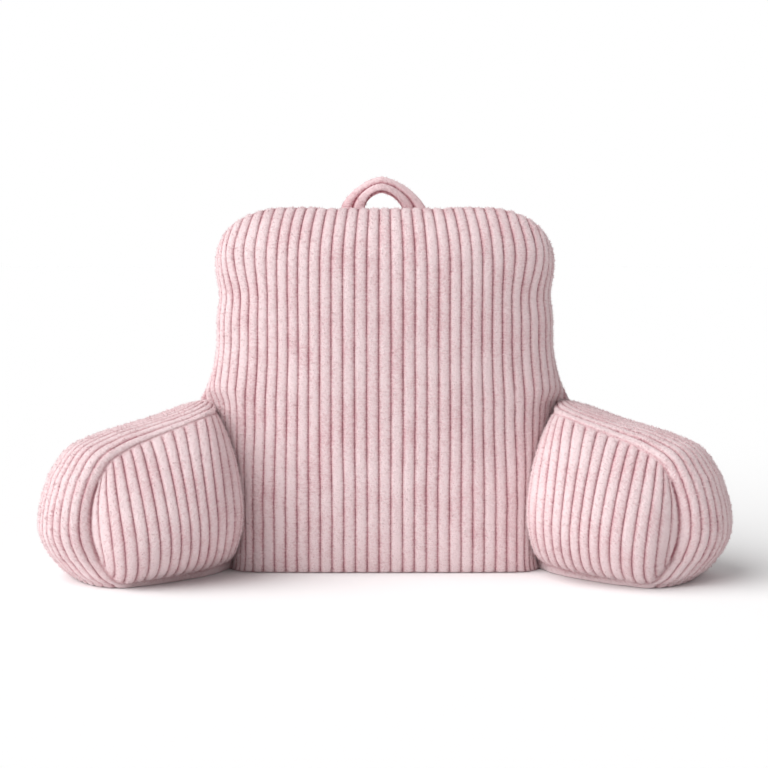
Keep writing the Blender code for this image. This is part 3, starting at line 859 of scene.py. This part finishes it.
angles = np.linspace(0, math.pi, STRAP_STEPS)
outer = arch(angles, OUTER_HALF_SPAN, OUTER_RISE, OUTER_POWER)
inner = arch(angles, INNER_HALF_SPAN, INNER_RISE, INNER_POWER)
middle = (outer + inner) / 2
half_width = (outer - inner) / 2
half_width[:, 1] += STRAP_LEAN * np.sin(angles)
face = np.cross(np.gradient(middle, axis=0), half_width)
face /= np.linalg.norm(face, axis=1)[:, None]
around = np.linspace(0, 2 * math.pi, STRAP_ROUND)
edge_share = np.sign(np.cos(around)) * np.abs(np.cos(around)) ** STRAP_EDGE_POWER
through = np.sign(np.sin(around)) * np.abs(np.sin(around)) ** STRAP_EDGE_POWER
strap_points = middle[:, None] + half_width[:, None] * edge_share[:, None]
strap_points = strap_points + face[:, None] * (through * STRAP_HALF_THICKNESS)[:, None]
strap_points[:, -1] = strap_points[:, 0]
strap_points[..., 1] += BACK_MIDDLE
strap_points[0, :, 2] = strap_points[-1, :, 2] = FOOT_HEIGHT - STRAP_SINK
strap_patch = cloth_patch(strap_points, 1.5 + edge_share, False)
feet = []
for row in (0, -1):
    hub = strap_points[row].mean(axis=0)
    feet.append(plain_patch(np.stack([strap_points[row], hub + (strap_points[row] - hub) * 0.01])))
strap = sewn_skin("handle_strap", [strap_patch] + feet)
strap_plush = cut_plush("strap cut plush", STRAP_GROOVE_SHADE_HEX, STRAP_FLANK_HEX, STRAP_CREST_HIGHLIGHT_HEX)
grown(strap, raise_wales, {**plush_values, "Crest height": STRAP_CREST_HEIGHT, "Plush": strap_plush})
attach(strap, "root")
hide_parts("handle")
with_pile(strap, 12, strap_plush)

# A plain white paper sweep under soft studio light: a large soft key light high on
# the left in front, and a white room all round that is seen pure white and lights
# the pillow less, so that the key light shapes the wales
FLOOR_HALF_SIZE = 40
ROOM_LIGHT = 0.43
floor_mesh = bpy.data.meshes.new("paper_floor")
floor_sides = ((-1, -1), (1, -1), (1, 1), (-1, 1))
floor_corners = [(x * FLOOR_HALF_SIZE, y * FLOOR_HALF_SIZE, 0) for x, y in floor_sides]
floor_mesh.from_pydata(floor_corners, [], [(0, 1, 2, 3)])
floor = bpy.data.objects.new("paper_floor", floor_mesh)
bpy.context.scene.collection.objects.link(floor)
paper = bpy.data.materials.new("matt white paper")
paper.use_nodes = True
paper.node_tree.nodes["Principled BSDF"].inputs["Base Color"].default_value = from_hex("#F8F8F8")
paper.node_tree.nodes["Principled BSDF"].inputs["Roughness"].default_value = 0.9
paper.node_tree.nodes["Principled BSDF"].inputs["Specular IOR Level"].default_value = 0.0
floor_mesh.materials.append(paper)

room = bpy.data.worlds.new("white room")
room.use_nodes = True
room.node_tree.nodes.clear()
lit = add_node(room.node_tree, "ShaderNodeBackground", {"Color": from_hex("#FFFFFF"), "Strength": ROOM_LIGHT})
white = add_node(room.node_tree, "ShaderNodeBackground", {"Color": from_hex("#FFFFFF"), "Strength": 1.0})
seen = add_node(room.node_tree, "ShaderNodeLightPath").outputs["Is Camera Ray"]
both = add_node(room.node_tree, "ShaderNodeMixShader", {0: seen, 1: lit, 2: white})
add_node(room.node_tree, "ShaderNodeOutputWorld", {"Surface": both})
bpy.context.scene.world = room

key = bpy.data.lights.new("key light", "SUN")
key.energy = 3.3
key.angle = math.radians(70)
key_light = bpy.data.objects.new("key light", key)
key_light.rotation_euler = Vector((0.88, 0.45, -0.75)).to_track_quat("-Z", "Y").to_euler()
bpy.context.scene.collection.objects.link(key_light)
bpy.context.scene.view_settings.view_transform = "Standard"

# The camera stands where the photo was taken from, as far as its perspective tells
lens = bpy.data.cameras.new("camera")
lens.sensor_width = 36.0
lens.lens = 75.94
camera = bpy.data.objects.new("camera", lens)
camera.location = (-0.0011, -1.8306, 0.360)
camera.rotation_euler = (math.radians(90 - 4.63), 0, 0)
bpy.context.scene.collection.objects.link(camera)
bpy.context.scene.camera = camera
